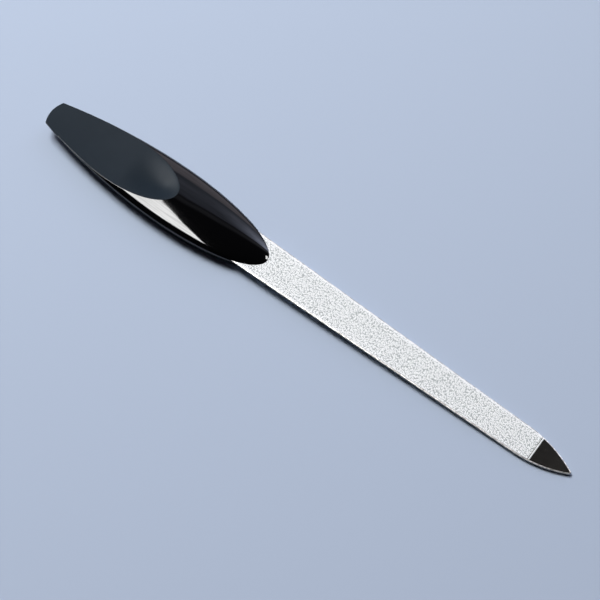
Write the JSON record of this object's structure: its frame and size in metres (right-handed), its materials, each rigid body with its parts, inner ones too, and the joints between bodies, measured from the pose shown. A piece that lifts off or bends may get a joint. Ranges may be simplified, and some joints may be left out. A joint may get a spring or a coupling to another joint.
{
  "type": "nail file",
  "caption": "Sapphire nail file: a tapered, pointed steel blade coated with pale grit on both faces, set in a glossy black leaf-shaped handle with matte thumb recesses.",
  "frame": {"origin": "middle of the length and width, on the surface under the belly of the handle", "axes": "+X from the butt of the handle to the point of the blade, +Z square to the blade's upper face"},
  "size_m": [0.178, 0.0184, 0.0058],
  "materials": {
    "plated_steel": "polished nickel-plated spring steel",
    "sapphire_grit": "bonded sapphire grit, matte and sparkling",
    "handle_plastic": "high-gloss moulded black",
    "soft_grip": "fine matte soft-touch"
  },
  "bodies": {
    "root": {"file_blade": "plated_steel", "upper_sapphire_coat": "sapphire_grit", "lower_sapphire_coat": "sapphire_grit", "upper_handle_shell": "handle_plastic", "lower_handle_shell": "handle_plastic", "upper_thumb_grip": "soft_grip", "lower_thumb_grip": "soft_grip"}
  },
  "joints": []
}
